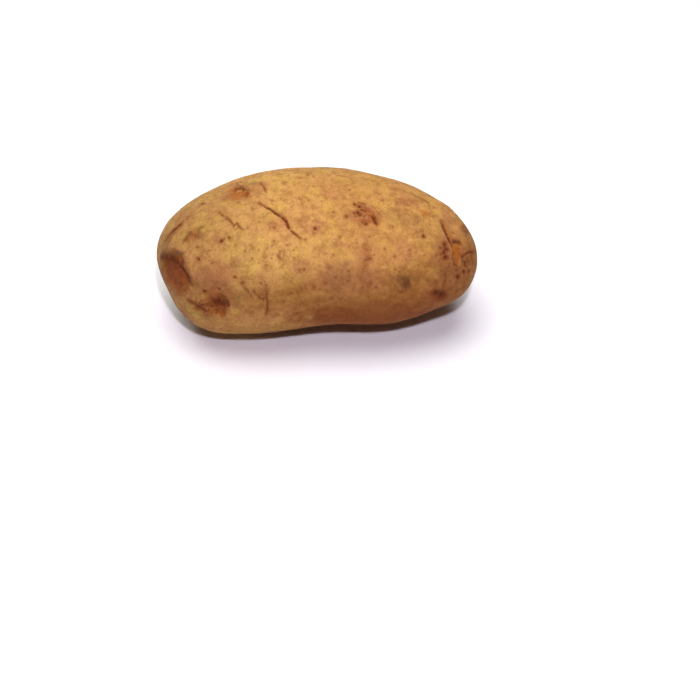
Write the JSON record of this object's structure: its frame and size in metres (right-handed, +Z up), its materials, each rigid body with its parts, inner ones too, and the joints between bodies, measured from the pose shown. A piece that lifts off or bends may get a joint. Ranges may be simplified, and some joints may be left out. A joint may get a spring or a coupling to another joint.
{
  "type": "potato",
  "caption": "Whole long oval potato with a thin netted golden-tan skin, shallow eyes under small brows, a sunken scar and fine growth cracks, lying on its flatter side.",
  "frame": {"origin": "middle of the bounding box at its base, on the surface that the tuber lies on", "axes": "+X along the length from the rose end, where most eyes are, to the heel end, +Y to the back, +Z up"},
  "size_m": [0.115, 0.067, 0.0517],
  "materials": {
    "skin": "matt, thin and netted, faintly waxy"
  },
  "bodies": {
    "root": {"tuber": "skin"}
  },
  "joints": []
}
